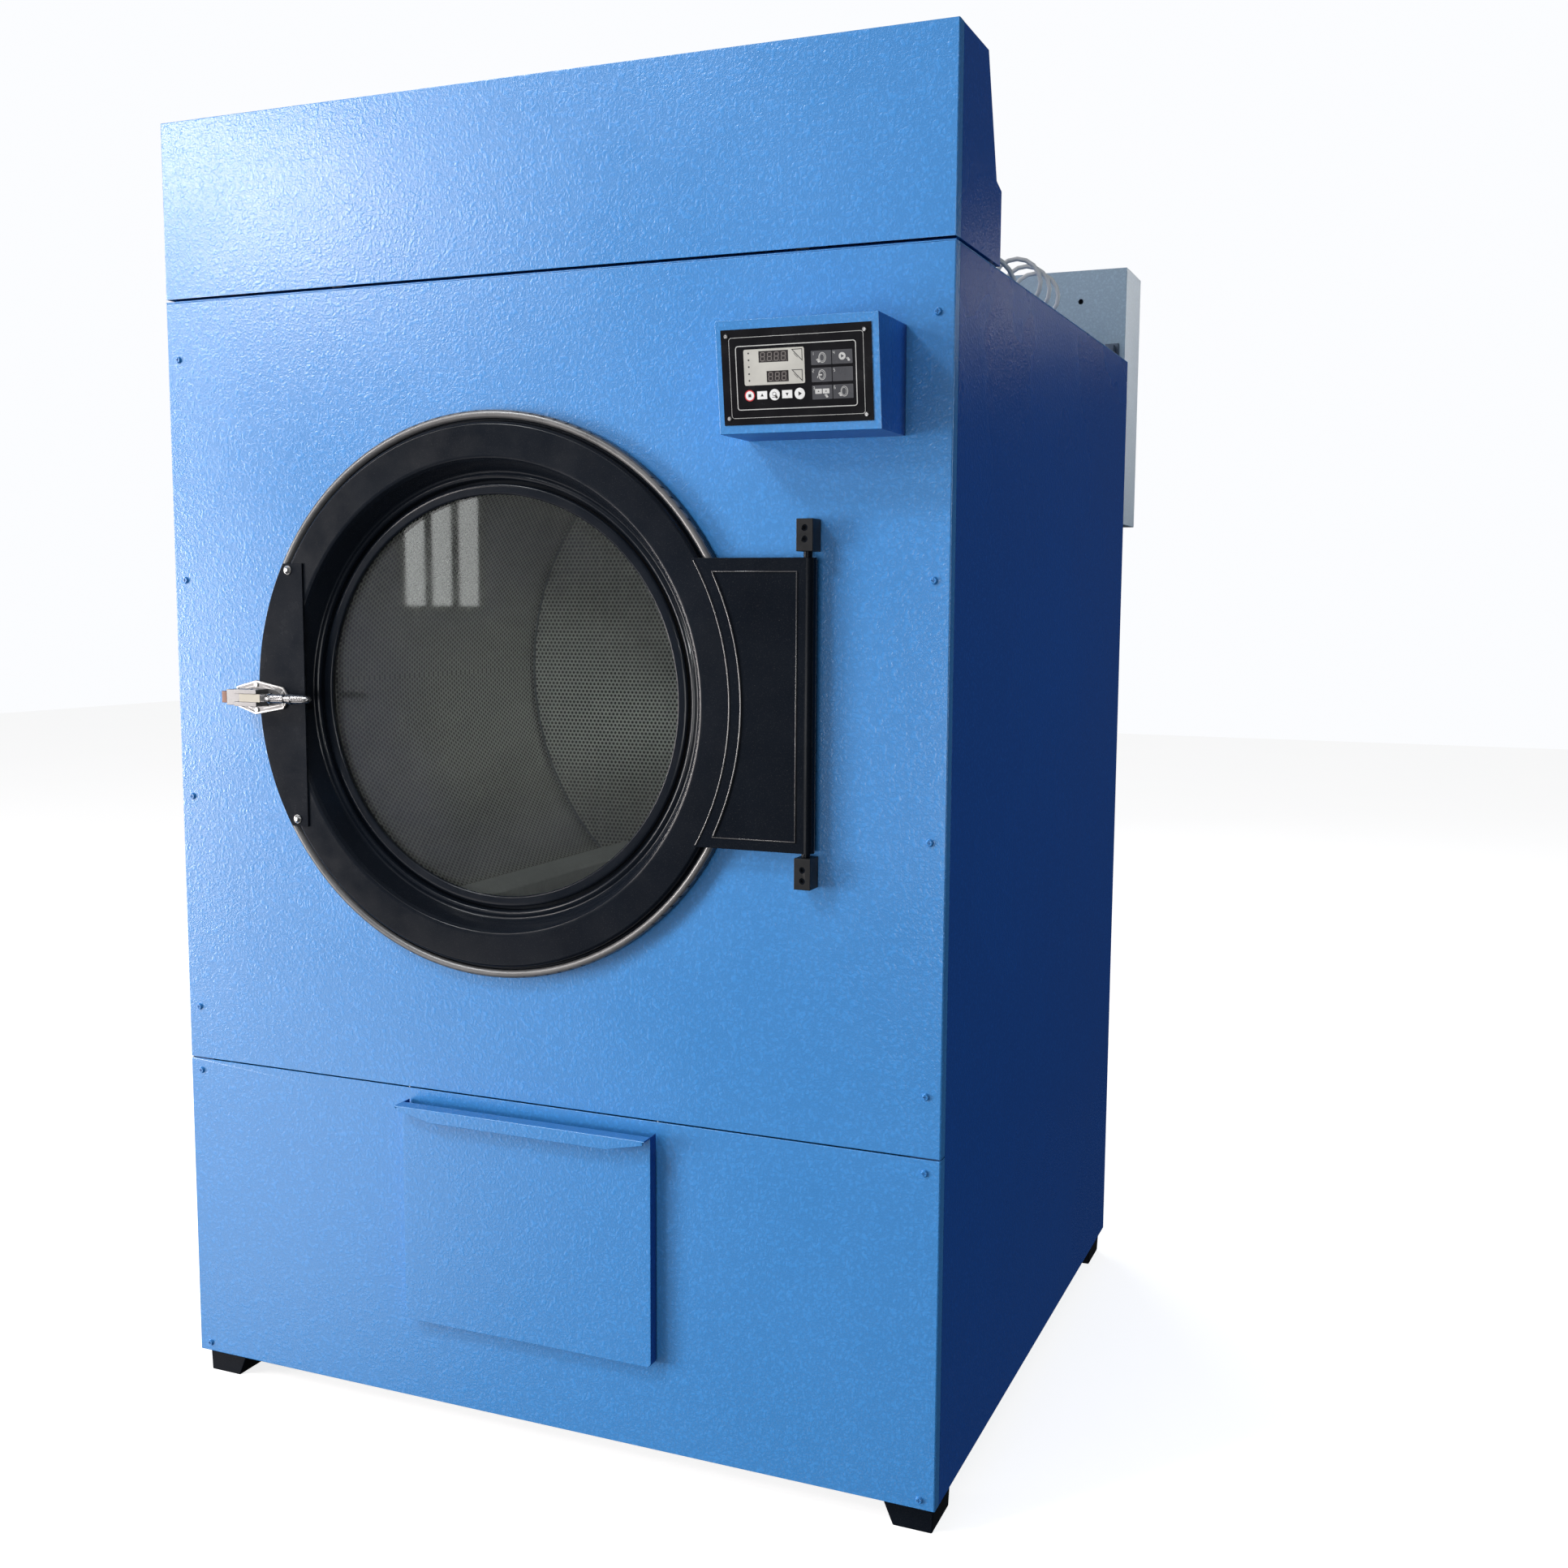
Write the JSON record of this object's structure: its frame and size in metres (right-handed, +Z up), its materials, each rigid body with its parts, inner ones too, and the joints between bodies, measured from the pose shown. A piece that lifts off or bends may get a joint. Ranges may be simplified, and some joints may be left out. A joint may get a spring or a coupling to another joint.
{
  "type": "commercial tumble dryer",
  "caption": "Tall blue sheet-metal laundry tumble dryer with a round glazed side-hinged door, key panel, header, lint drawer and rear heater box.",
  "frame": {"origin": "centre of the bounding box at floor level", "axes": "+X to the right seen from the front, +Y from the front to the back, +Z up"},
  "size_m": [1.28, 1.4014, 2.016],
  "materials": {
    "blue_paint": "textured powder coat",
    "dark_paint": "textured powder coat in shade",
    "grey_paint": "satin paint",
    "black_paint": "satin enamel",
    "bare_steel": "perforated and plain sheet",
    "zinc_steel": "galvanised sheet",
    "cast": "painted casting",
    "machined": "turned",
    "chrome": "polished",
    "copper_tint": "satin",
    "rubber": "matt",
    "cable_grey": "satin sheath",
    "glass": "clear",
    "overlay_black": "matt film with pale outlines",
    "black_plastic": "moulded",
    "board_green": "circuit board",
    "key_red": "printed",
    "key_white": "printed"
  },
  "bodies": {
    "cabinet": {"frame": "dark_paint", "feet": "black_paint", "side_panel_left": "blue_paint", "side_panel_right": "blue_paint", "front_panel_upper": "blue_paint", "front_panel_lower": "blue_paint", "rear_panel": "grey_paint", "roof_panel": "blue_paint", "header_front": "blue_paint", "header_shell": "blue_paint", "panel_screws": "blue_paint", "electrics": "zinc_steel", "drum_casing": "zinc_steel", "filter_housing": "zinc_steel", "heater_box": "grey_paint", "heater_elements": "bare_steel", "heater_latch": "zinc_steel", "fan_housing": "zinc_steel", "fan_motor": "grey_paint", "bearing_housings": "cast", "drum_motor": "grey_paint", "motor_belt": "rubber", "drum_belt": "rubber", "belt_guard": "blue_paint", "control_box": "blue_paint", "control_overlay": "overlay_black", "control_board": "board_green", "overlay_screws": "chrome", "hinge_blocks": "black_plastic", "hinge_screws": "black_paint", "latch_keeper": "copper_tint", "cable": "cable_grey", "cable_glands": "black_plastic"},
    "door": {"door_ring": "black_paint", "glass_ring": "black_paint", "door_glass": "glass", "glass_gasket": "rubber", "door_seal": "rubber", "hinge_plate": "black_paint", "hinge_pin": "black_paint", "latch_bracket": "black_paint", "bracket_screws": "chrome", "latch_body": "chrome"},
    "latch_lever": {"latch_handle": "chrome"},
    "bolt": {"latch_bolt": "chrome"},
    "drum": {"drum_shell": "bare_steel", "drum_back": "bare_steel", "drum_lifters": "bare_steel", "drum_shaft": "zinc_steel", "drum_pulley": "cast"},
    "jack_rotor": {"jack_pulley": "cast"},
    "motor_rotor": {"motor_pulley": "cast"},
    "fan_rotor": {"fan_impeller": "zinc_steel"},
    "lint_drawer": {"lint_front": "blue_paint", "lint_tray": "zinc_steel"},
    "stop_key": {"key_stop": "key_red"},
    "up_key": {"key_up": "key_white"},
    "set_key": {"key_set": "key_white"},
    "down_key": {"key_down": "key_white"},
    "run_key": {"key_run": "key_white"}
  },
  "joints": [
    {"name": "door_hinge", "type": "hinge", "parent": "cabinet", "child": "door", "pos_m": [0.448, -0.60625, 1.146], "axis": [0, 0, 1], "range_deg": [0, 170]},
    {"name": "latch_handle_pivot", "type": "hinge", "parent": "door", "child": "latch_lever", "pos_m": [-0.452, -0.64025, 1.138], "axis": [0, 0, -1], "range_deg": [0, 35], "stiffness_Nm_per_rad": 2},
    {"name": "latch_bolt_slide", "type": "slide", "parent": "door", "child": "bolt", "axis": [1, 0, 0], "range_m": [0, 0.0101]},
    {"name": "drum_spin", "type": "hinge", "parent": "cabinet", "child": "drum", "pos_m": [-0.052, 0.00975, 1.146], "axis": [0, 1, 0], "continuous": true},
    {"name": "jack_spin", "type": "hinge", "parent": "cabinet", "child": "jack_rotor", "pos_m": [0.23, 0.55975, 0.74], "axis": [0, 1, 0], "continuous": true},
    {"name": "motor_spin", "type": "hinge", "parent": "cabinet", "child": "motor_rotor", "pos_m": [0.35, 0.55975, 0.33], "axis": [0, 1, 0], "continuous": true},
    {"name": "fan_spin", "type": "hinge", "parent": "cabinet", "child": "fan_rotor", "pos_m": [-0.35, 0.28975, 0.33], "axis": [1, 0, 0], "continuous": true},
    {"name": "lint_drawer_slide", "type": "slide", "parent": "cabinet", "child": "lint_drawer", "axis": [0, -1, 0], "range_m": [0, 0.5]},
    {"name": "stop_key_press", "type": "slide", "parent": "cabinet", "child": "stop_key", "axis": [0, 0.992, 0.1265], "range_m": [0, 0.0008], "stiffness_N_per_m": 800},
    {"name": "up_key_press", "type": "slide", "parent": "cabinet", "child": "up_key", "axis": [0, 0.992, 0.1265], "range_m": [0, 0.0008], "stiffness_N_per_m": 800},
    {"name": "set_key_press", "type": "slide", "parent": "cabinet", "child": "set_key", "axis": [0, 0.992, 0.1265], "range_m": [0, 0.0008], "stiffness_N_per_m": 800},
    {"name": "down_key_press", "type": "slide", "parent": "cabinet", "child": "down_key", "axis": [0, 0.992, 0.1265], "range_m": [0, 0.0008], "stiffness_N_per_m": 800},
    {"name": "run_key_press", "type": "slide", "parent": "cabinet", "child": "run_key", "axis": [0, 0.992, 0.1265], "range_m": [0, 0.0008], "stiffness_N_per_m": 800}
  ],
  "couplings": [
    {"joint": "jack_spin", "follows": "drum_spin", "ratio": 6.0111},
    {"joint": "motor_spin", "follows": "drum_spin", "ratio": 24.085},
    {"joint": "latch_bolt_slide", "follows": "latch_handle_pivot", "m_per_rad": 0.01637}
  ]
}
